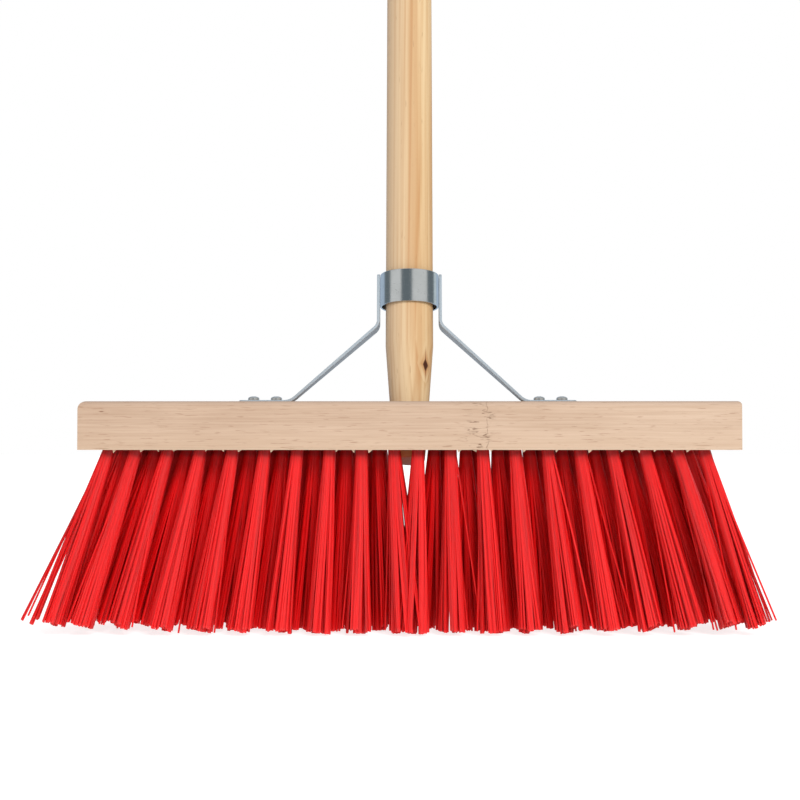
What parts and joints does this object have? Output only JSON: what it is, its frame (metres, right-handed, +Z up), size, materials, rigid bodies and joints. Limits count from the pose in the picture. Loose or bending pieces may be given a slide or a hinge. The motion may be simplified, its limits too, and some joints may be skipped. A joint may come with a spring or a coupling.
{
  "type": "push broom",
  "caption": "Push broom: wooden block with rows of stiff red filament tufts, slanted round wooden handle and a zinc-plated steel collar stay screwed to the block.",
  "frame": {"origin": "on the floor, at the bristle tips, under the middle of the block", "axes": "+Z up; X along the block; the front of the broom faces -Y and the handle leans back towards +Y"},
  "size_m": [0.4164, 0.4559, 1.4077],
  "materials": {
    "block_wood": "planed bare beech, matt",
    "handle_wood": "sanded bare pine, satin",
    "zinc_steel": "bright zinc plate",
    "screw_steel": "zinc plate, dull",
    "red_filament": "extruded plastic filament, semi-gloss"
  },
  "bodies": {
    "root": {"block": "block_wood", "handle": "handle_wood", "collar": "zinc_steel", "stay_arm_left": "zinc_steel", "stay_arm_right": "zinc_steel", "collar_screw": "screw_steel", "foot_screw_1": "screw_steel", "foot_screw_2": "screw_steel", "foot_screw_3": "screw_steel", "foot_screw_4": "screw_steel", "front_tuft_01": "red_filament", "front_tuft_02": "red_filament", "front_tuft_03": "red_filament", "front_tuft_04": "red_filament", "front_tuft_05": "red_filament", "front_tuft_06": "red_filament", "front_tuft_07": "red_filament", "front_tuft_08": "red_filament", "front_tuft_09": "red_filament", "front_tuft_10": "red_filament", "front_tuft_11": "red_filament", "front_tuft_12": "red_filament", "front_tuft_13": "red_filament", "front_tuft_14": "red_filament", "front_tuft_15": "red_filament", "front_tuft_16": "red_filament", "front_tuft_17": "red_filament", "front_tuft_18": "red_filament", "front_tuft_19": "red_filament", "front_tuft_20": "red_filament", "inner_tufts_1": "red_filament", "inner_tufts_2": "red_filament", "inner_tufts_3": "red_filament", "inner_tufts_4": "red_filament", "inner_tufts_5": "red_filament", "inner_tufts_6": "red_filament", "inner_tufts_7": "red_filament", "inner_tufts_8": "red_filament", "inner_tufts_9": "red_filament", "rear_tuft_01": "red_filament", "rear_tuft_02": "red_filament", "rear_tuft_03": "red_filament", "rear_tuft_04": "red_filament", "rear_tuft_05": "red_filament", "rear_tuft_06": "red_filament", "rear_tuft_07": "red_filament", "rear_tuft_08": "red_filament", "rear_tuft_09": "red_filament", "rear_tuft_10": "red_filament", "rear_tuft_11": "red_filament", "rear_tuft_12": "red_filament", "rear_tuft_13": "red_filament", "rear_tuft_14": "red_filament", "rear_tuft_15": "red_filament", "rear_tuft_16": "red_filament", "rear_tuft_17": "red_filament", "rear_tuft_18": "red_filament"}
  },
  "joints": []
}
